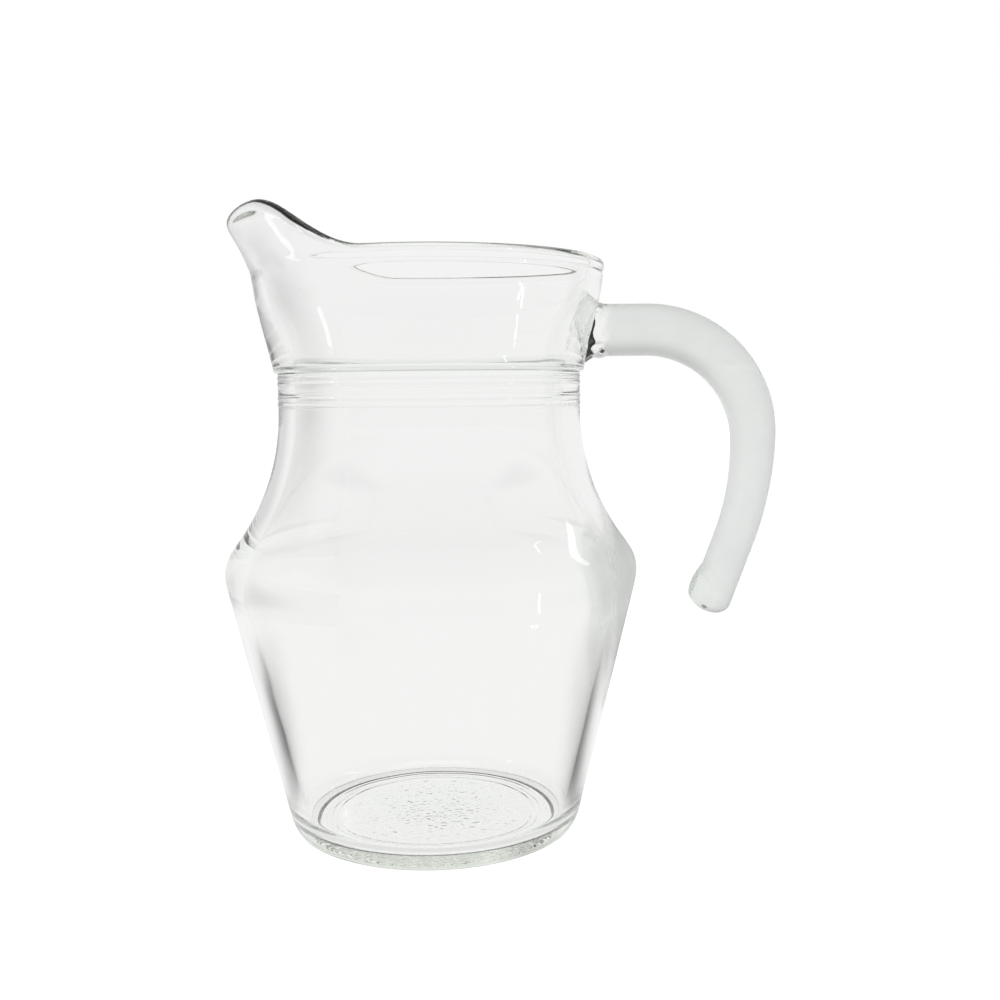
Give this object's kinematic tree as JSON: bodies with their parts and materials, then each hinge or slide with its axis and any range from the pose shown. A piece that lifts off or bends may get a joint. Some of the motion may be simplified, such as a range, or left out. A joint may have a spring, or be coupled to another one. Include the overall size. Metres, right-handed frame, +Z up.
{
  "type": "glass water jug",
  "caption": "Open water jug of heavy clear glass with a tapered bowl, ringed neck, flared mouth, raised pouring lip and an open hook handle.",
  "frame": {"origin": "on the axis of the bowl at the underside, level with the ring the jug stands on", "axes": "+Z up along the axis of the bowl, -X towards the pouring lip, +X towards the handle"},
  "size_m": [0.1873, 0.1398, 0.2084],
  "materials": {
    "clear_glass": "clear",
    "handle_glass": "satin"
  },
  "bodies": {
    "root": {"jug_body": "clear_glass", "handle": "handle_glass", "handle_weld_pad": "clear_glass", "handle_end_bead": "clear_glass"}
  },
  "joints": []
}
